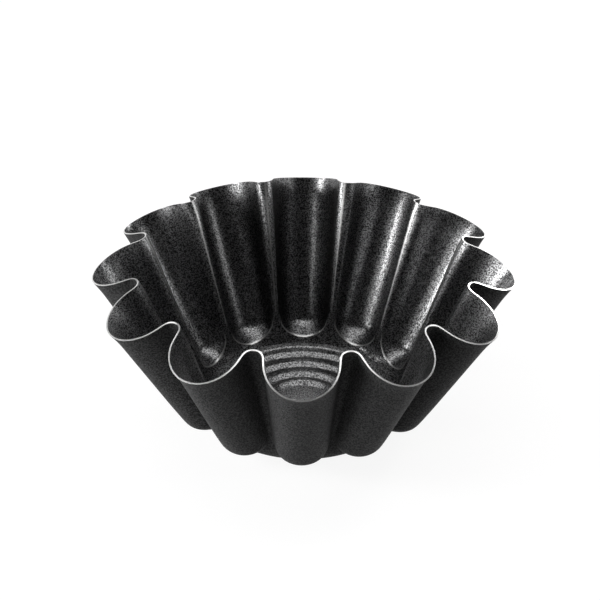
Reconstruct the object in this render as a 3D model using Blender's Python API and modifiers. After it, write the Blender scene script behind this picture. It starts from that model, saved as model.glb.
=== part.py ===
"""Fluted pudding mould: one pressed sheet-steel shell with twelve flutes, a cup floor and a wavy rim."""

import math

import bmesh
import bpy
from mathutils import Matrix

MM = 0.001

# The whole mould.
FLUTES = 12
OUTER_DIAMETER = 220.0 * MM
HEIGHT = 90.0 * MM
SHEET = 0.8 * MM

# The rim, on the food side. A ridge stands between two flutes and rises above them.
RIM_LOBE_RADIUS = OUTER_DIAMETER / 2.0 - SHEET
RIM_RIDGE_RADIUS = 86.2 * MM
RIM_LOBE_BEND = 17.9 * MM
RIM_RIDGE_BEND = 5.7 * MM
RIM_WAVE_DEPTH = 11.0 * MM
RIM_WAVE_POWER = 1.23

# The level where the flutes start to close. The ridges run out into the cup wall there.
WAIST_HEIGHT = 20.6 * MM
WAIST_LOBE_RADIUS = 74.8 * MM
WAIST_RIDGE_RADIUS = 60.0 * MM
WAIST_LOBE_BEND = 13.0 * MM
WAIST_RIDGE_BEND = 2.2 * MM

# The rounded lower end of a flute, and its lip on the cup wall.
TOE_HEIGHT = 8.8 * MM
LIP_HEIGHT = 5.5 * MM
LIP_BEND = 13.0 * MM
TOE_BEND = 10.0 * MM
NOSE_LIFT = 1.0 * MM
NOSE_LIMIT = 0.65

# The cup wall and the floor. The floor's lowest circles rest on the table.
CUP_FOOT_RADIUS = 55.4 * MM
STEP_RADIUS = CUP_FOOT_RADIUS - 4.8 * MM
STEP_RUN = 1.3 * MM
STEP_DROP = 0.7 * MM
RIB_HEIGHT = 1.7 * MM
RIB_CREST_SHARES = (0.907, 0.713, 0.522, 0.358)
RIB_FALL_RUN = 3.3 * MM
RIB_RISE_RUN = 3.0 * MM
VALLEY_WIDTH = 1.2 * MM
FLOOR_HEIGHT = SHEET + RIB_HEIGHT + STEP_DROP

# The coating's look.
COATING_COLOUR = (0.045, 0.045, 0.048, 1.0)
COATING_ROUGHNESS = 0.38
COATING_METALLIC = 0.0

# How finely the shell is divided.
RIDGE_COLUMNS = 3
FLANK_COLUMNS = 1
LOBE_COLUMNS = 5
WALL_ROWS = 2
TOE_ROWS = 5
FLOOR_SIDES = 48
MERGE = 0.005 * MM


def blend(start, end, share):
    """Point part of the way between two points."""
    return tuple(s + (e - s) * share for s, e in zip(start, end))


def plan_section(column, ridge_radius, lobe_radius, ridge_bend, lobe_bend):
    """Radius and angle from the lobe of one column: ridge arc, straight flank, then lobe arc."""
    half_pitch = math.pi / FLUTES
    ridge_x = ridge_radius + ridge_bend
    lobe_x = (lobe_radius - lobe_bend) * math.cos(half_pitch)
    lobe_y = (lobe_radius - lobe_bend) * math.sin(half_pitch)
    reach = math.hypot(lobe_x - ridge_x, lobe_y)
    turn = math.atan2(lobe_x - ridge_x, lobe_y) + math.asin(min(1.0, (ridge_bend + lobe_bend) / reach))
    if column <= RIDGE_COLUMNS:
        angle = turn * column / RIDGE_COLUMNS
        x = ridge_x - ridge_bend * math.cos(angle)
        y = ridge_bend * math.sin(angle)
    else:
        part = (column - RIDGE_COLUMNS - FLANK_COLUMNS) / LOBE_COLUMNS
        angle = -turn + (turn + half_pitch) * part
        x = lobe_x + lobe_bend * math.cos(angle)
        y = lobe_y + lobe_bend * math.sin(angle)
    return math.hypot(x, y), half_pitch - math.atan2(y, x)


def rim_point(column):
    """Radius, angle from the lobe and height of the rim on the food side."""
    radius, angle = plan_section(column, RIM_RIDGE_RADIUS, RIM_LOBE_RADIUS, RIM_RIDGE_BEND, RIM_LOBE_BEND)
    swell = (radius - RIM_RIDGE_RADIUS) / (RIM_LOBE_RADIUS - RIM_RIDGE_RADIUS)
    return radius, angle, HEIGHT - RIM_WAVE_DEPTH * max(0.0, swell) ** RIM_WAVE_POWER


def waist_point(column):
    """Radius, angle from the lobe and height of the section where the flutes start to close."""
    section = plan_section(
        column, WAIST_RIDGE_RADIUS, WAIST_LOBE_RADIUS, WAIST_RIDGE_BEND, WAIST_LOBE_BEND
    )
    return section[0], section[1], WAIST_HEIGHT


def cup_radius(height):
    """Radius of the round cup wall, which carries on the line from the ridges' feet."""
    slope = (WAIST_RIDGE_RADIUS - CUP_FOOT_RADIUS) / (WAIST_HEIGHT - FLOOR_HEIGHT)
    return CUP_FOOT_RADIUS + slope * (height - FLOOR_HEIGHT)


def lip_tangent():
    """Angle of the lip's round bottom where its straight side from the ridge's foot touches it."""
    waist = waist_point(RIDGE_COLUMNS)
    side = waist[0] * math.sin(waist[1])
    rise = WAIST_HEIGHT - LIP_HEIGHT
    reach = math.hypot(side, rise - LIP_BEND)
    return math.atan2(rise - LIP_BEND, side) - math.acos(min(1.0, LIP_BEND / reach))


def lip_point(column):
    """Point of the U-shaped lip's round bottom, from its straight side to the lobe's middle."""
    tangent = lip_tangent()
    part = (column - RIDGE_COLUMNS) / (FLANK_COLUMNS + LOBE_COLUMNS)
    angle = tangent - (math.pi / 2.0 + tangent) * part
    height = LIP_HEIGHT + LIP_BEND + LIP_BEND * math.sin(angle)
    radius = cup_radius(height)
    return radius, math.asin(LIP_BEND * math.cos(angle) / radius), height


def wedge_points(column):
    """Points down the wedge of cup wall under a ridge, beside and between the lips' straight sides."""
    waist = waist_point(column)
    edge_start = waist_point(RIDGE_COLUMNS)
    edge_end = lip_point(RIDGE_COLUMNS)
    middle = math.pi / FLUTES
    points = []
    for row in range(1, TOE_ROWS + 1):
        down = row / TOE_ROWS
        radius, edge_angle, height = blend(edge_start, edge_end, down)
        spread = (middle - waist[1]) / (middle - edge_start[1])
        angle = middle - (middle - edge_angle) * spread
        proud = (waist[0] - cup_radius(WAIST_HEIGHT)) * (1.0 - down) ** 2
        points.append(to_xyz((cup_radius(height) + proud, angle, height)))
    return points


def to_xyz(point):
    """Cartesian point of a flute whose lobe is on the X axis."""
    radius, angle, height = point
    return radius * math.cos(angle), radius * math.sin(angle), height


def toe_points(column):
    """The flute's closing end below the waist: wall, rounded nose, shelf and lip."""
    top = to_xyz(rim_point(column))
    start = to_xyz(waist_point(column))
    end = to_xyz(lip_point(column))
    share = (column - RIDGE_COLUMNS) / (FLANK_COLUMNS + LOBE_COLUMNS)
    lift = (TOE_HEIGHT - LIP_HEIGHT) * share + NOSE_LIFT * math.sin(math.pi * share)
    corner = blend(top, start, (top[2] - end[2] - lift) / (top[2] - start[2]))
    wall = math.dist(start, corner)
    shelf = math.dist(corner, end)
    opening = (wall ** 2 + shelf ** 2 - math.dist(start, end) ** 2) / (2.0 * wall * shelf)
    tangent = TOE_BEND / math.tan(math.acos(opening) / 2.0)
    tangent = min(tangent, NOSE_LIMIT * wall, NOSE_LIMIT * shelf)
    before = blend(corner, start, tangent / wall)
    after = blend(corner, end, tangent / shelf)
    points = []
    for step in range(TOE_ROWS - 1):
        part = step / (TOE_ROWS - 2)
        points.append(blend(blend(before, corner, part), blend(corner, after, part), part))
    return points + [end]


def half_flute_columns():
    """Columns of points from the rim down to the cup's foot, ridge first and lobe last."""
    columns = []
    for column in range(RIDGE_COLUMNS + FLANK_COLUMNS + LOBE_COLUMNS + 1):
        rim = to_xyz(rim_point(column))
        waist = to_xyz(waist_point(column))
        points = [blend(rim, waist, row / WALL_ROWS) for row in range(WALL_ROWS + 1)]
        points += wedge_points(column) if column <= RIDGE_COLUMNS else toe_points(column)
        angle = math.atan2(points[-1][1], points[-1][0])
        points.append(to_xyz((CUP_FOOT_RADIUS, angle, FLOOR_HEIGHT)))
        columns.append(points)
    return columns


def add_half_flute(shell):
    """Lay a grid over half a flute, with the lobe on the X axis."""
    columns = half_flute_columns()
    bmesh.ops.create_grid(
        shell, x_segments=len(columns) - 1, y_segments=len(columns[0]) - 1, size=1.0
    )
    shell.verts.ensure_lookup_table()
    points = [columns[column][row] for row in range(len(columns[0])) for column in range(len(columns))]
    for vert, point in zip(shell.verts, points):
        vert.co = point


def add_flutes(shell):
    """Mirror the half flute across its lobe and turn copies around the axis."""
    add_half_flute(shell)
    half = shell.verts[:] + shell.edges[:] + shell.faces[:]
    bmesh.ops.mirror(shell, geom=half, axis="Y", merge_dist=MERGE)
    bmesh.ops.rotate(shell, verts=shell.verts[:], matrix=Matrix.Rotation(-math.pi / 2.0, 3, "Z"))
    bmesh.ops.spin(
        shell,
        geom=shell.verts[:] + shell.edges[:] + shell.faces[:],
        axis=(0.0, 0.0, 1.0),
        cent=(0.0, 0.0, 0.0),
        angle=2.0 * math.pi * (FLUTES - 1) / FLUTES,
        steps=FLUTES - 1,
        use_duplicate=True,
    )
    bmesh.ops.remove_doubles(shell, verts=shell.verts[:], dist=MERGE)


def floor_profile():
    """Radius and height of the floor's circles, from the step inwards to the flat middle."""
    crest = FLOOR_HEIGHT - STEP_DROP
    valley = crest - RIB_HEIGHT
    profile = [(STEP_RADIUS, FLOOR_HEIGHT), (STEP_RADIUS - STEP_RUN, crest)]
    for number, share in enumerate(RIB_CREST_SHARES):
        radius = STEP_RADIUS * share
        profile.append((radius, crest))
        profile.append((radius - RIB_FALL_RUN, valley))
        if number < len(RIB_CREST_SHARES) - 1:
            foot = radius - RIB_FALL_RUN - VALLEY_WIDTH
            profile.append((foot, valley))
            profile.append((foot - RIB_RISE_RUN, crest))
    return profile + [(0.0, valley)]


def add_floor(shell):
    """Fill the cup's foot: a flat ring, then the turned steps and ribs out to the middle."""
    foot = [edge for edge in shell.edges if edge.is_boundary and edge.verts[0].co.z < LIP_HEIGHT]
    profile = [shell.verts.new((radius, 0.0, height)) for radius, height in floor_profile()]
    chain = [shell.edges.new(pair) for pair in zip(profile, profile[1:])]
    bmesh.ops.spin(
        shell,
        geom=profile + chain,
        axis=(0.0, 0.0, 1.0),
        cent=(0.0, 0.0, 0.0),
        angle=2.0 * math.pi,
        steps=FLOOR_SIDES,
    )
    bmesh.ops.remove_doubles(shell, verts=shell.verts[:], dist=MERGE)
    rims = [edge for edge in shell.edges if edge.is_boundary]
    step = [edge for edge in rims if edge.verts[0].co.xy.length < STEP_RADIUS + MERGE]
    bmesh.ops.triangle_fill(shell, edges=foot + step, use_beauty=True)


def coating():
    """Dark release coating."""
    material = bpy.data.materials.new("release_coating")
    material.use_nodes = True
    shader = material.node_tree.nodes["Principled BSDF"]
    shader.inputs["Base Color"].default_value = COATING_COLOUR
    shader.inputs["Roughness"].default_value = COATING_ROUGHNESS
    shader.inputs["Metallic"].default_value = COATING_METALLIC
    return material


def build_shell(collection):
    """The whole mould: an open food-side surface thickened outwards."""
    shell = bmesh.new()
    add_flutes(shell)
    add_floor(shell)
    bmesh.ops.recalc_face_normals(shell, faces=shell.faces[:])
    middle = min(shell.faces, key=lambda face: face.calc_center_median().length)
    if middle.normal.z < 0.0:
        bmesh.ops.reverse_faces(shell, faces=shell.faces[:])
    mesh = bpy.data.meshes.new("mould_shell")
    shell.to_mesh(mesh)
    shell.free()
    mesh.materials.append(coating())
    mesh.shade_smooth()
    mesh.set_sharp_from_angle(angle=math.radians(35.0))
    mould = bpy.data.objects.new("mould_shell", mesh)
    collection.objects.link(mould)
    thickness = mould.modifiers.new("sheet", "SOLIDIFY")
    thickness.thickness = SHEET
    thickness.offset = -1.0
    thickness.use_even_offset = True
    thickness.use_quality_normals = True
    return mould


def main():
    """Clear the scene and build the mould."""
    for item in list(bpy.data.objects):
        bpy.data.objects.remove(item, do_unlink=True)
    collection = bpy.data.collections.new("pudding_mould")
    bpy.context.scene.collection.children.link(collection)
    build_shell(collection)


main()
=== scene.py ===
"""Looks of the fluted pudding mould: a finely divided pressed shell, its coatings, lights and camera."""

import math

import bmesh
import bpy
from mathutils import Matrix, Vector


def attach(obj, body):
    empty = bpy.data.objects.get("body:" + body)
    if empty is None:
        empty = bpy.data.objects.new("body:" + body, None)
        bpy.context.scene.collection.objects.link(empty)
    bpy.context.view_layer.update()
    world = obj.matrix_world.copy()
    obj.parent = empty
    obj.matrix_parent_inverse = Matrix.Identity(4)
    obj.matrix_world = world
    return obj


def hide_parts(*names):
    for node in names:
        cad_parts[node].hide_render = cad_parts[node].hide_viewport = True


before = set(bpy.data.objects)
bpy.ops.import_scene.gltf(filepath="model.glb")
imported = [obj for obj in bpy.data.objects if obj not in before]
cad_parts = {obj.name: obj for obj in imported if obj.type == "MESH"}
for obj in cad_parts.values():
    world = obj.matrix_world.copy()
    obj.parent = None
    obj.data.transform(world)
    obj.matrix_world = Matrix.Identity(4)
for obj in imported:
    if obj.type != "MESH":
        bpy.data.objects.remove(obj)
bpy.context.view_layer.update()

MM = 0.001

# The whole mould. The sizes are the solid's, apart from the rim's flare, the rounder noses and the
# cup's tucked foot, which are finer shapes than the solid has.
FLUTES = 12
OUTER_DIAMETER = 220.0 * MM
HEIGHT = 90.0 * MM
SHEET = 0.8 * MM

# The rim, on the food side.
RIM_LOBE_RADIUS = OUTER_DIAMETER / 2.0 - SHEET
RIM_RIDGE_RADIUS = 86.2 * MM
RIM_LOBE_BEND = 17.9 * MM
RIM_RIDGE_BEND = 5.7 * MM
RIM_WAVE_DEPTH = 11.0 * MM
RIM_WAVE_POWER = 1.23
RIM_FLARE = 1.1 * MM
FLARE_SHARE = 0.17
FLARE_POWER = 2
RIM_BEVEL = 0.12 * MM
RIM_BEVEL_SEGMENTS = 2
RIM_BEVEL_ANGLE = math.radians(60.0)

# The level where the flutes start to close.
WAIST_HEIGHT = 20.6 * MM
WAIST_LOBE_RADIUS = 74.8 * MM
WAIST_RIDGE_RADIUS = 60.0 * MM
WAIST_LOBE_BEND = 13.0 * MM
WAIST_RIDGE_BEND = 2.2 * MM

# The rounded lower end of a flute, and its lip on the cup wall.
TOE_HEIGHT = 8.8 * MM
LIP_HEIGHT = 5.5 * MM
LIP_BEND = 13.0 * MM
NOSE_LIFT = 1.0 * MM
NOSE_WALL_SHARE = 0.3
NOSE_SHELF_SHARE = 0.5
WEDGE_POWER = 2

# The cup wall and the floor.
CUP_FOOT_RADIUS = 55.4 * MM
FOOT_TUCK = 1.9 * MM
FOOT_RADIUS = CUP_FOOT_RADIUS - FOOT_TUCK
FOOT_RISE = 2.3 * MM
FOOT_POWER = 1.3
STEP_RADIUS = CUP_FOOT_RADIUS - 4.8 * MM
STEP_RUN = 1.3 * MM
STEP_DROP = 0.7 * MM
RIB_HEIGHT = 1.7 * MM
RIB_CREST_SHARES = (0.907, 0.713, 0.522, 0.358)
RIB_FALL_RUN = 3.3 * MM
RIB_RISE_RUN = 3.0 * MM
VALLEY_WIDTH = 1.2 * MM
FLOOR_HEIGHT = SHEET + RIB_HEIGHT + STEP_DROP

# How finely the shell is divided.
RIDGE_COLUMNS = 7
FLANK_COLUMNS = 3
LOBE_COLUMNS = 12
WALL_ROWS = 22
WALL_ROW_POWER = 1.5
NOSE_ROWS = 11
SHELF_ROWS = 6
CUP_ROWS = 6
BORDER_ROWS = 2
BORDER_RUN = 1.0 * MM
FLOOR_SIDES = 264
FLOOR_GRAIN = 0.5 * MM
STEP_BORDER = 1.2 * MM
MERGE = 0.005 * MM

# How the creases are rounded as the press leaves them.
PRESS_ROUNDS = 10
PRESS_STEP = 0.5
FLOOR_PRESS = 0.1
FOOT_SHARP = 0.1 * MM
PRESS_TOP = 26.0 * MM
PRESS_FADE = 10.0 * MM

# Painted highlight: how pale the lips and, fainter, the ridges' crests are painted, for the bright lines
# that light draws along them.
HIGHLIGHT_ATTRIBUTE = "painted_highlight"
LIP_HIGHLIGHT = 1.0
RIDGE_HIGHLIGHT = 0.6


def blend(start, end, share):
    """Point part of the way between two points."""
    return tuple(s + (e - s) * share for s, e in zip(start, end))


def to_xyz(point):
    """Cartesian point of a flute whose lobe is on the X axis."""
    radius, angle, height = point
    return radius * math.cos(angle), radius * math.sin(angle), height


def plan_section(column, ridge_radius, lobe_radius, ridge_bend, lobe_bend):
    """Radius and angle from the lobe of one column: ridge arc, straight flank, then lobe arc."""
    half_pitch = math.pi / FLUTES
    ridge_x = ridge_radius + ridge_bend
    lobe_x = (lobe_radius - lobe_bend) * math.cos(half_pitch)
    lobe_y = (lobe_radius - lobe_bend) * math.sin(half_pitch)
    reach = math.hypot(lobe_x - ridge_x, lobe_y)
    turn = math.atan2(lobe_x - ridge_x, lobe_y) + math.asin(min(1.0, (ridge_bend + lobe_bend) / reach))
    ridge_share = min(1.0, column / RIDGE_COLUMNS)
    ridge_end = (
        ridge_x - ridge_bend * math.cos(turn * ridge_share),
        ridge_bend * math.sin(turn * ridge_share),
    )
    lobe_share = max(0.0, (column - RIDGE_COLUMNS - FLANK_COLUMNS) / LOBE_COLUMNS)
    lobe_angle = -turn + (turn + half_pitch) * lobe_share
    lobe_start = (lobe_x + lobe_bend * math.cos(lobe_angle), lobe_y + lobe_bend * math.sin(lobe_angle))
    flank_share = min(1.0, max(0.0, (column - RIDGE_COLUMNS) / FLANK_COLUMNS))
    x, y = blend(ridge_end, lobe_start, flank_share)
    return math.hypot(x, y), half_pitch - math.atan2(y, x)


def rim_point(column):
    """Radius, angle from the lobe and height of the rim on the food side."""
    radius, angle = plan_section(column, RIM_RIDGE_RADIUS, RIM_LOBE_RADIUS, RIM_RIDGE_BEND, RIM_LOBE_BEND)
    swell = (radius - RIM_RIDGE_RADIUS) / (RIM_LOBE_RADIUS - RIM_RIDGE_RADIUS)
    return radius, angle, HEIGHT - RIM_WAVE_DEPTH * max(0.0, swell) ** RIM_WAVE_POWER


def waist_point(column):
    """Radius, angle from the lobe and height of the section where the flutes start to close."""
    section = plan_section(
        column, WAIST_RIDGE_RADIUS, WAIST_LOBE_RADIUS, WAIST_RIDGE_BEND, WAIST_LOBE_BEND
    )
    return section[0], section[1], WAIST_HEIGHT


def cup_radius(height):
    """Radius of the round cup wall, which carries on the line from the ridges' feet."""
    slope = (WAIST_RIDGE_RADIUS - CUP_FOOT_RADIUS) / (WAIST_HEIGHT - FLOOR_HEIGHT)
    return CUP_FOOT_RADIUS + slope * (height - FLOOR_HEIGHT)


def tucked_radius(height):
    """Radius of the cup wall with its foot drawn in."""
    tuck = max(0.0, 1.0 - (height - FLOOR_HEIGHT) / FOOT_RISE) ** FOOT_POWER
    return cup_radius(height) - FOOT_TUCK * tuck


def wall_top(column):
    """Point where the straight wall would meet the rim without its flare."""
    radius, angle, height = rim_point(column)
    return to_xyz((radius - RIM_FLARE, angle, height))


def wall_points(column):
    """Points down the wall, which flares a little towards the rim."""
    top = wall_top(column)
    waist = to_xyz(waist_point(column))
    angle = rim_point(column)[1]
    points = []
    for row in range(WALL_ROWS + 1):
        down = (row / WALL_ROWS) ** WALL_ROW_POWER
        x, y, z = blend(top, waist, down)
        out = RIM_FLARE * max(0.0, 1.0 - down / FLARE_SHARE) ** FLARE_POWER
        points.append((x + out * math.cos(angle), y + out * math.sin(angle), z))
    return points


def lip_tangent():
    """Angle of the lip's round bottom where its straight side from the ridge's foot touches it."""
    waist = waist_point(RIDGE_COLUMNS)
    side = waist[0] * math.sin(waist[1])
    rise = WAIST_HEIGHT - LIP_HEIGHT
    reach = math.hypot(side, rise - LIP_BEND)
    return math.atan2(rise - LIP_BEND, side) - math.acos(min(1.0, LIP_BEND / reach))


def lip_point(column):
    """Point of the U-shaped lip's round bottom, from its straight side to the lobe's middle."""
    tangent = lip_tangent()
    part = (column - RIDGE_COLUMNS) / (FLANK_COLUMNS + LOBE_COLUMNS)
    angle = tangent - (math.pi / 2.0 + tangent) * part
    height = LIP_HEIGHT + LIP_BEND + LIP_BEND * math.sin(angle)
    radius = cup_radius(height)
    return radius, math.asin(LIP_BEND * math.cos(angle) / radius), height


def wedge_points(column):
    """Points down the wedge of cup wall under a ridge, between the lips' straight sides."""
    waist = waist_point(column)
    edge_start = waist_point(RIDGE_COLUMNS)
    edge_end = lip_point(RIDGE_COLUMNS)
    middle = math.pi / FLUTES
    rows = NOSE_ROWS + SHELF_ROWS
    points = []
    for row in range(1, rows + 1):
        down = row / rows
        radius, edge_angle, height = blend(edge_start, edge_end, down)
        spread = (middle - waist[1]) / (middle - edge_start[1])
        angle = middle - (middle - edge_angle) * spread
        proud = (waist[0] - cup_radius(WAIST_HEIGHT)) * (1.0 - down) ** WEDGE_POWER
        points.append(to_xyz((cup_radius(height) + proud, angle, height)))
    return points


def toe_points(column):
    """The flute's closing end below the waist: wall, rounded nose, shelf and lip."""
    top = wall_top(column)
    start = to_xyz(waist_point(column))
    end = to_xyz(lip_point(column))
    share = (column - RIDGE_COLUMNS) / (FLANK_COLUMNS + LOBE_COLUMNS)
    lift = (TOE_HEIGHT - LIP_HEIGHT) * share + NOSE_LIFT * math.sin(math.pi * share)
    corner = blend(top, start, (top[2] - end[2] - lift) / (top[2] - start[2]))
    before = blend(corner, start, NOSE_WALL_SHARE)
    after = blend(corner, end, NOSE_SHELF_SHARE)
    points = []
    for step in range(NOSE_ROWS):
        part = step / (NOSE_ROWS - 1)
        points.append(blend(blend(before, corner, part), blend(corner, after, part), part))
    points += [blend(after, end, (row + 1) / SHELF_ROWS) for row in range(SHELF_ROWS)]
    return points


def half_flute_columns():
    """Columns of points from the rim down to the cup's foot, ridge first and lobe last."""
    columns = []
    for column in range(RIDGE_COLUMNS + FLANK_COLUMNS + LOBE_COLUMNS + 1):
        points = wall_points(column)
        points += wedge_points(column) if column <= RIDGE_COLUMNS else toe_points(column)
        lip = points[-1]
        angle = math.atan2(lip[1], lip[0])
        for row in range(1, CUP_ROWS + 1):
            height = lip[2] + (FLOOR_HEIGHT - lip[2]) * row / CUP_ROWS
            points.append(to_xyz((tucked_radius(height), angle, height)))
        for row in range(1, BORDER_ROWS + 1):
            radius = FOOT_RADIUS - BORDER_RUN * row / BORDER_ROWS
            points.append(to_xyz((radius, angle, FLOOR_HEIGHT)))
        columns.append(points)
    return columns


def edge_highlight(column, row):
    """How much painted highlight a point of the grid gets: the lips most, the ridges' crests less."""
    lip = WALL_ROWS + NOSE_ROWS + SHELF_ROWS
    if row == lip and column >= RIDGE_COLUMNS:
        return LIP_HIGHLIGHT
    if column == RIDGE_COLUMNS and WALL_ROWS <= row <= lip:
        return LIP_HIGHLIGHT * (row - WALL_ROWS) / (lip - WALL_ROWS)
    if column == 0 and row <= WALL_ROWS:
        return RIDGE_HIGHLIGHT
    return 0.0


def add_half_flute(shell):
    """Lay a grid over half a flute, with the lobe on the X axis."""
    columns = half_flute_columns()
    bmesh.ops.create_grid(
        shell, x_segments=len(columns) - 1, y_segments=len(columns[0]) - 1, size=1.0
    )
    shell.verts.ensure_lookup_table()
    # Painted highlight strength of each point, kept as a vertex attribute for the inside coating.
    painted_highlight = shell.verts.layers.float.new(HIGHLIGHT_ATTRIBUTE)
    places = [(column, row) for row in range(len(columns[0])) for column in range(len(columns))]
    for vert, (column, row) in zip(shell.verts, places):
        vert.co = columns[column][row]
        vert[painted_highlight] = edge_highlight(column, row)


def add_flutes(shell):
    """Mirror the half flute across its lobe and turn copies around the axis."""
    add_half_flute(shell)
    half = shell.verts[:] + shell.edges[:] + shell.faces[:]
    bmesh.ops.mirror(shell, geom=half, axis="Y", merge_dist=MERGE)
    bmesh.ops.rotate(shell, verts=shell.verts[:], matrix=Matrix.Rotation(-math.pi / 2.0, 3, "Z"))
    bmesh.ops.spin(
        shell,
        geom=shell.verts[:] + shell.edges[:] + shell.faces[:],
        axis=(0.0, 0.0, 1.0),
        cent=(0.0, 0.0, 0.0),
        angle=2.0 * math.pi * (FLUTES - 1) / FLUTES,
        steps=FLUTES - 1,
        use_duplicate=True,
    )
    bmesh.ops.remove_doubles(shell, verts=shell.verts[:], dist=MERGE)


def floor_corners():
    """Radius and height of the floor's circles, from the step inwards to the flat middle."""
    crest = FLOOR_HEIGHT - STEP_DROP
    valley = crest - RIB_HEIGHT
    corners = [
        (STEP_RADIUS + STEP_BORDER, FLOOR_HEIGHT),
        (STEP_RADIUS, FLOOR_HEIGHT),
        (STEP_RADIUS - STEP_RUN, crest),
    ]
    for number, share in enumerate(RIB_CREST_SHARES):
        radius = STEP_RADIUS * share
        corners.append((radius, crest))
        corners.append((radius - RIB_FALL_RUN, valley))
        if number < len(RIB_CREST_SHARES) - 1:
            foot = radius - RIB_FALL_RUN - VALLEY_WIDTH
            corners.append((foot, valley))
            corners.append((foot - RIB_RISE_RUN, crest))
    return corners


def floor_profile():
    """The floor's corners with even points between them, and the middle."""
    corners = floor_corners()
    profile = []
    for start, end in zip(corners, corners[1:] + [(0.0, corners[-1][1])]):
        steps = max(2, round(math.dist(start, end) / FLOOR_GRAIN))
        profile += [blend(start, end, step / steps) for step in range(steps)]
    return profile + [(0.0, corners[-1][1])]


def add_floor(shell):
    """Fill the cup's foot: a flat ring, then the turned steps and ribs out to the middle."""
    foot = [edge for edge in shell.edges if edge.is_boundary and edge.verts[0].co.z < LIP_HEIGHT]
    profile = [shell.verts.new((radius, 0.0, height)) for radius, height in floor_profile()]
    chain = [shell.edges.new(pair) for pair in zip(profile, profile[1:])]
    bmesh.ops.spin(
        shell,
        geom=profile + chain,
        axis=(0.0, 0.0, 1.0),
        cent=(0.0, 0.0, 0.0),
        angle=2.0 * math.pi,
        steps=FLOOR_SIDES,
    )
    bmesh.ops.remove_doubles(shell, verts=shell.verts[:], dist=MERGE)
    rims = [edge for edge in shell.edges if edge.is_boundary]
    step = [edge for edge in rims if edge.verts[0].co.xy.length < STEP_RADIUS + STEP_BORDER + MERGE]
    bmesh.ops.triangle_fill(shell, edges=foot + step, use_beauty=True)


def press_share(vert):
    """How much one round of averaging moves a point, from none at the cup's foot and above the toes."""
    if vert.is_boundary or vert.co.z > PRESS_TOP:
        return 0.0
    radius = vert.co.xy.length
    if radius < STEP_RADIUS + STEP_BORDER - MERGE:
        return FLOOR_PRESS
    above = vert.co.z - FLOOR_HEIGHT
    if above < FOOT_SHARP:
        return 0.0
    return min(1.0, (PRESS_TOP - vert.co.z) / PRESS_FADE)


def press_smooth(shell):
    """Round the creases that the press leaves: the lips, the ridges' feet and the floor's steps."""
    for _ in range(PRESS_ROUNDS):
        moved = {}
        for vert in shell.verts:
            share = press_share(vert)
            if share > 0.0:
                middle = sum((edge.other_vert(vert).co for edge in vert.link_edges), Vector())
                moved[vert] = vert.co.lerp(middle / len(vert.link_edges), PRESS_STEP * share)
        for vert, place in moved.items():
            vert.co = place


def sharpen_foot(shell):
    """Keep the crease at the cup's foot crisp."""
    for edge in shell.edges:
        if all(
            abs(vert.co.z - FLOOR_HEIGHT) < MERGE and abs(vert.co.xy.length - FOOT_RADIUS) < 2.0 * MERGE
            for vert in edge.verts
        ):
            edge.smooth = False


def build_shell():
    """The whole mould: an open food-side surface thickened outwards."""
    shell = bmesh.new()
    add_flutes(shell)
    add_floor(shell)
    sharpen_foot(shell)
    press_smooth(shell)
    bmesh.ops.recalc_face_normals(shell, faces=shell.faces[:])
    middle = min(shell.faces, key=lambda face: face.calc_center_median().length)
    if middle.normal.z < 0.0:
        bmesh.ops.reverse_faces(shell, faces=shell.faces[:])
    mesh = bpy.data.meshes.new("pressed_shell")
    shell.to_mesh(mesh)
    shell.free()
    mesh.shade_smooth()
    mould = bpy.data.objects.new("pressed_shell", mesh)
    bpy.context.scene.collection.objects.link(mould)
    thickness = mould.modifiers.new("sheet", "SOLIDIFY")
    thickness.thickness = SHEET
    thickness.offset = -1.0
    thickness.use_quality_normals = True
    thickness.material_offset = 1
    thickness.material_offset_rim = 2
    trim = mould.modifiers.new("trim", "BEVEL")
    trim.limit_method = "ANGLE"
    trim.angle_limit = RIM_BEVEL_ANGLE
    trim.width = RIM_BEVEL
    trim.segments = RIM_BEVEL_SEGMENTS
    trim.harden_normals = True
    return mould


# The colours of the coatings and of the bare edge.
INSIDE_COLOUR = (0.009, 0.009, 0.0092, 1.0)
FLECK_COLOUR = (0.26, 0.26, 0.263, 1.0)
# Pale colour of the painted highlight on the lips and ridge crests.
HIGHLIGHT_COLOUR = (0.62, 0.62, 0.61, 1.0)
OUTSIDE_COLOUR = (0.012, 0.012, 0.0122, 1.0)
OUTSIDE_PALE = (0.055, 0.055, 0.0555, 1.0)
STEEL_COLOUR = (0.92, 0.92, 0.91, 1.0)
STEEL_DULL = (0.7, 0.7, 0.69, 1.0)

# Their grain: noise scale, where the colours lie in it, gloss and relief.
INSIDE_GRAIN = 1400.0
INSIDE_STOPS = (0.4, 0.63)
INSIDE_ROUGHNESS = (0.44, 0.3)
INSIDE_RELIEF = (0.6, 0.12 * MM)
OUTSIDE_GRAIN = 1200.0
OUTSIDE_STOPS = (0.4, 0.62)
OUTSIDE_ROUGHNESS = (0.75, 0.6)
OUTSIDE_RELIEF = (0.25, 0.06 * MM)
OUTSIDE_IOR = 1.2
STEEL_GRAIN = 900.0
STEEL_GRAIN_DETAIL = 3.0
STEEL_GRAIN_ROUGHNESS = 0.6
STEEL_STOPS = (0.3, 0.55)
STEEL_ROUGHNESS = (0.42, 0.28)
STEEL_RELIEF = (0.2, 0.05 * MM)
COATING_GRAIN_DETAIL = 1.0
ROUGHNESS_STOPS = (0.3, 0.7)

# The clear film over the inside coating.
FILM_WEIGHT = 0.6
FILM_ROUGHNESS = 0.16
FILM_IOR = 1.5


def node(tree, kind, **inputs):
    """Add a shader node and set its input values by name."""
    made = tree.nodes.new(kind)
    for name, value in inputs.items():
        made.inputs[name.replace("_", " ")].default_value = value
    return made


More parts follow.
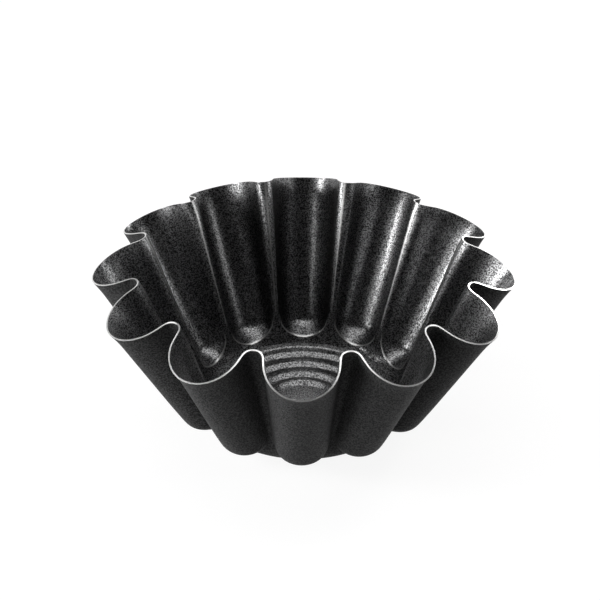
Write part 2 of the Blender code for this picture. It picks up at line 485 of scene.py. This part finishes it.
def object_noise(tree, scale, detail, roughness=0.5):
    """Noise that is fixed to the object."""
    place = tree.nodes.new("ShaderNodeTexCoord")
    noise = node(tree, "ShaderNodeTexNoise", Scale=scale, Detail=detail, Roughness=roughness)
    tree.links.new(place.outputs["Object"], noise.inputs["Vector"])
    return noise.outputs["Fac"]


def ramp(tree, factor, stops):
    """Colour ramp through the given stops, each a place and a colour."""
    stops = list(stops)
    made = tree.nodes.new("ShaderNodeValToRGB")
    tree.links.new(factor, made.inputs["Fac"])
    elements = made.color_ramp.elements
    while len(elements) < len(stops):
        elements.new(0.5)
    for element, (place, colour) in zip(elements, stops):
        element.position = place
        element.color = colour
    return made.outputs["Color"]


def grey(level):
    """Opaque grey for a ramp that stands for a number."""
    return (level, level, level, 1.0)


def new_material(name):
    """Material with its node tree and Principled shader."""
    material = bpy.data.materials.new(name)
    material.use_nodes = True
    return material, material.node_tree, material.node_tree.nodes["Principled BSDF"]


def add_gloss(tree, shader, factor, roughness):
    """Roughness that runs between two levels over the grain."""
    low, high = ROUGHNESS_STOPS
    gloss = ramp(tree, factor, [(low, grey(roughness[0])), (high, grey(roughness[1]))])
    tree.links.new(gloss, shader.inputs["Roughness"])


def add_bump(tree, shader, height, relief):
    """Fine relief on the shader's normal, given as strength and depth."""
    bump = node(tree, "ShaderNodeBump", Strength=relief[0], Distance=relief[1])
    tree.links.new(height, bump.inputs["Height"])
    tree.links.new(bump.outputs["Normal"], shader.inputs["Normal"])


def inside_coating():
    """Satin release coating with a pebbled surface, fine grey flecks and a pale painted highlight on the
    lips and ridge crests.
    """
    material, tree, shader = new_material("inside_coating")
    grain = object_noise(tree, INSIDE_GRAIN, COATING_GRAIN_DETAIL)
    colour = ramp(tree, grain, zip(INSIDE_STOPS, (INSIDE_COLOUR, FLECK_COLOUR)))
    # Pale painted highlight along the lips and ridge crests, mixed into the base colour by the vertex
    # attribute.
    highlight_mask = tree.nodes.new("ShaderNodeAttribute")
    highlight_mask.attribute_name = HIGHLIGHT_ATTRIBUTE
    blended = tree.nodes.new("ShaderNodeMix")
    blended.data_type = "RGBA"
    blended.inputs["B"].default_value = HIGHLIGHT_COLOUR
    tree.links.new(highlight_mask.outputs["Fac"], blended.inputs["Factor"])
    tree.links.new(colour, blended.inputs["A"])
    tree.links.new(blended.outputs["Result"], shader.inputs["Base Color"])
    add_gloss(tree, shader, grain, INSIDE_ROUGHNESS)
    shader.inputs["Metallic"].default_value = 1.0
    shader.inputs["Coat Weight"].default_value = FILM_WEIGHT
    shader.inputs["Coat Roughness"].default_value = FILM_ROUGHNESS
    shader.inputs["Coat IOR"].default_value = FILM_IOR
    add_bump(tree, shader, grain, INSIDE_RELIEF)
    return material


def outside_coating():
    """Matte outer coating, a little mottled."""
    material, tree, shader = new_material("outside_coating")
    grain = object_noise(tree, OUTSIDE_GRAIN, COATING_GRAIN_DETAIL)
    colour = ramp(tree, grain, zip(OUTSIDE_STOPS, (OUTSIDE_COLOUR, OUTSIDE_PALE)))
    tree.links.new(colour, shader.inputs["Base Color"])
    add_gloss(tree, shader, grain, OUTSIDE_ROUGHNESS)
    shader.inputs["IOR"].default_value = OUTSIDE_IOR
    add_bump(tree, shader, grain, OUTSIDE_RELIEF)
    return material


def bare_steel():
    """Trimmed edge of the sheet, bare metal with fine shear marks."""
    material, tree, shader = new_material("bare_steel")
    marks = object_noise(tree, STEEL_GRAIN, STEEL_GRAIN_DETAIL, STEEL_GRAIN_ROUGHNESS)
    colour = ramp(tree, marks, zip(STEEL_STOPS, (STEEL_DULL, STEEL_COLOUR)))
    tree.links.new(colour, shader.inputs["Base Color"])
    add_gloss(tree, shader, marks, STEEL_ROUGHNESS)
    shader.inputs["Metallic"].default_value = 1.0
    add_bump(tree, shader, marks, STEEL_RELIEF)
    return material


# The camera, found from the rim, the ridges and the floor's rings.
FRAME_PIXELS = 600.0
SENSOR_WIDTH = 36.0
CAMERA_AZIMUTH = math.radians(-0.438)
CAMERA_ELEVATION = math.radians(32.306)
CAMERA_ROLL = math.radians(0.386)
CAMERA_DISTANCE = 950.72 * MM
CAMERA_AIM = Vector((-1.75 * MM, 0.0, 65.538 * MM))
FOCAL_PIXELS = 1821.01
CLIP_START = 10.0 * MM


def add_camera():
    """Camera at the photograph's place and angle."""
    right = Vector((1.0, 0.0, 0.0))
    up = Vector((0.0, math.sin(CAMERA_ELEVATION), math.cos(CAMERA_ELEVATION)))
    back = Vector((0.0, -math.cos(CAMERA_ELEVATION), math.sin(CAMERA_ELEVATION)))
    rolled_right = right * math.cos(CAMERA_ROLL) + up * math.sin(CAMERA_ROLL)
    rolled_up = up * math.cos(CAMERA_ROLL) - right * math.sin(CAMERA_ROLL)
    turned = Matrix.Rotation(-CAMERA_AZIMUTH, 4, "Z")
    place = Matrix.Identity(4)
    for row in range(3):
        place[row][:3] = rolled_right[row], rolled_up[row], back[row]
    place.translation = CAMERA_AIM + back * CAMERA_DISTANCE
    lens = bpy.data.cameras.new("camera")
    lens.sensor_width = SENSOR_WIDTH
    lens.lens = FOCAL_PIXELS / FRAME_PIXELS * SENSOR_WIDTH
    lens.clip_start = CLIP_START
    camera = bpy.data.objects.new("camera", lens)
    bpy.context.scene.collection.objects.link(camera)
    camera.matrix_world = turned @ place
    bpy.context.scene.camera = camera


# The studio. Softboxes: name, azimuth from the viewer's side, elevation, distance, width, height, radiance.
AIM = Vector((0.0, 0.0, 45.0 * MM))
SOFTBOXES = (
    ("softbox_left", -78.0, 21.0, 0.9, 0.36, 0.34, 15.0),
    ("softbox_left_wide", -60.0, 15.0, 1.1, 1.1, 0.5, 2.4),
    ("softbox_low", -50.0, 4.0, 0.9, 0.28, 0.25, 8.0),
    ("softbox_front", -25.0, 6.0, 1.0, 0.5, 0.2, 2.5),
    ("softbox_right", 74.0, 22.0, 0.9, 0.34, 0.3, 2.4),
    ("softbox_right_low", 90.0, 9.0, 0.9, 0.3, 0.2, 3.0),
    ("softbox_right_back", 138.0, 24.0, 0.9, 0.3, 0.24, 14.0),
    ("softbox_top", 180.0, 80.0, 0.9, 1.2, 0.4, 2.3),
    ("softbox_back", 180.0, 37.0, 0.9, 0.5, 0.16, 3.0),
)

# The world's light, and the paper that the mould stands on, in metres.
WORLD_LEVEL = 0.04
HORIZON = 0.16
SWEEP_WIDTH = 6.0
SWEEP_FRONT = -4.0
SWEEP_BACK = 1.3
SWEEP_BEND = 0.3
SWEEP_HEIGHT = 1.1
SWEEP_STEPS = 16
SWEEP_GAP = 0.2 * MM
SWEEP_COLOUR = (0.17, 0.17, 0.17, 1.0)
SWEEP_GLOW = 0.89


def add_softbox(name, azimuth, elevation, distance, width, height, radiance):
    """Rectangular lamp that faces the mould."""
    turn = math.radians(azimuth)
    rise = math.radians(elevation)
    towards = Vector((math.sin(turn) * math.cos(rise), -math.cos(turn) * math.cos(rise), math.sin(rise)))
    lamp = bpy.data.lights.new(name, "AREA")
    lamp.shape = "RECTANGLE"
    lamp.size = width
    lamp.size_y = height
    lamp.energy = radiance * math.pi * width * height
    box = bpy.data.objects.new(name, lamp)
    bpy.context.scene.collection.objects.link(box)
    box.location = AIM + towards * distance
    box.rotation_euler = towards.to_track_quat("Z", "Y").to_euler()


def combine(tree, operation, first, second):
    """Result of a sum on two shader values."""
    made = tree.nodes.new("ShaderNodeMath")
    made.operation = operation
    tree.links.new(first, made.inputs[0])
    tree.links.new(second, made.inputs[1])
    return made.outputs["Value"]


def ray_kinds(tree):
    """One for camera rays, and one for mirrored rays."""
    path = tree.nodes.new("ShaderNodeLightPath")
    mirrored = combine(tree, "MAXIMUM", path.outputs["Is Glossy Ray"], path.outputs["Is Transmission Ray"])
    return path.outputs["Is Camera Ray"], mirrored


def below_horizon(tree):
    """One where a ray leaves low enough to meet the pale surroundings."""
    place = tree.nodes.new("ShaderNodeTexCoord")
    split = tree.nodes.new("ShaderNodeSeparateXYZ")
    tree.links.new(place.outputs["Generated"], split.inputs["Vector"])
    low = tree.nodes.new("ShaderNodeMath")
    low.operation = "LESS_THAN"
    low.inputs[1].default_value = HORIZON
    tree.links.new(split.outputs["Z"], low.inputs[0])
    return low.outputs["Value"]


def mix_shaders(tree, share, first, second, output):
    """Mix two shaders by a share and send them to the tree's output."""
    mix = tree.nodes.new("ShaderNodeMixShader")
    tree.links.new(share, mix.inputs["Fac"])
    tree.links.new(first, mix.inputs[1])
    tree.links.new(second, mix.inputs[2])
    tree.links.new(mix.outputs["Shader"], tree.nodes[output].inputs["Surface"])


def add_world():
    """Dim even studio light, with white where the camera looks past the sweep."""
    world = bpy.data.worlds.new("studio")
    bpy.context.scene.world = world
    world.use_nodes = True
    tree = world.node_tree
    plain = tree.nodes["Background"]
    plain.inputs["Color"].default_value = (1.0, 1.0, 1.0, 1.0)
    plain.inputs["Strength"].default_value = WORLD_LEVEL
    white = node(tree, "ShaderNodeBackground", Color=(1.0, 1.0, 1.0, 1.0), Strength=1.0)
    camera, mirrored = ray_kinds(tree)
    seen = combine(tree, "MAXIMUM", camera, combine(tree, "MULTIPLY", mirrored, below_horizon(tree)))
    mix_shaders(tree, seen, plain.outputs["Background"], white.outputs["Background"], "World Output")


def sweep_paper():
    """Matte paper that reads as white, keeps the object's shadow and is clear from below."""
    material, tree, shader = new_material("sweep_paper")
    shader.inputs["Base Color"].default_value = SWEEP_COLOUR
    shader.inputs["Roughness"].default_value = 1.0
    shader.inputs["Specular IOR Level"].default_value = 0.0
    camera, mirrored = ray_kinds(tree)
    seen = combine(tree, "MAXIMUM", camera, mirrored)
    glow = tree.nodes.new("ShaderNodeMath")
    glow.operation = "MULTIPLY"
    glow.inputs[1].default_value = SWEEP_GLOW
    tree.links.new(seen, glow.inputs[0])
    shader.inputs["Emission Color"].default_value = (1.0, 1.0, 1.0, 1.0)
    tree.links.new(glow.outputs["Value"], shader.inputs["Emission Strength"])
    side = tree.nodes.new("ShaderNodeNewGeometry")
    clear = tree.nodes.new("ShaderNodeBsdfTransparent")
    below = side.outputs["Backfacing"]
    mix_shaders(tree, below, shader.outputs["BSDF"], clear.outputs["BSDF"], "Material Output")
    return material


def sweep_line():
    """The sweep's side view: floor, bend and low backdrop."""
    line = [(SWEEP_FRONT, 0.0)]
    for step in range(SWEEP_STEPS + 1):
        angle = math.pi / 2.0 * step / SWEEP_STEPS
        line.append((SWEEP_BACK + SWEEP_BEND * math.sin(angle), SWEEP_BEND * (1.0 - math.cos(angle))))
    return line + [(SWEEP_BACK + SWEEP_BEND, SWEEP_HEIGHT)]


def add_sweep():
    """Pale paper that the mould stands on, which turns up behind it."""
    line = sweep_line()
    sheet = bmesh.new()
    bmesh.ops.create_grid(sheet, x_segments=1, y_segments=len(line) - 1, size=SWEEP_WIDTH / 2.0)
    sheet.verts.ensure_lookup_table()
    for number, (y, z) in enumerate(line):
        for vert in sheet.verts[2 * number:2 * number + 2]:
            vert.co.y = y
            vert.co.z = z
    mesh = bpy.data.meshes.new("paper_sweep")
    sheet.to_mesh(mesh)
    sheet.free()
    mesh.shade_smooth()
    mesh.materials.append(sweep_paper())
    sweep = bpy.data.objects.new("paper_sweep", mesh)
    sweep.location.z = -SWEEP_GAP
    bpy.context.scene.collection.objects.link(sweep)


shell = build_shell()
for finish in (inside_coating(), outside_coating(), bare_steel()):
    shell.data.materials.append(finish)
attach(shell, "root")
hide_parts("mould_shell")
add_camera()
for softbox in SOFTBOXES:
    add_softbox(*softbox)
add_world()
add_sweep()
bpy.context.scene.view_settings.view_transform = "Standard"
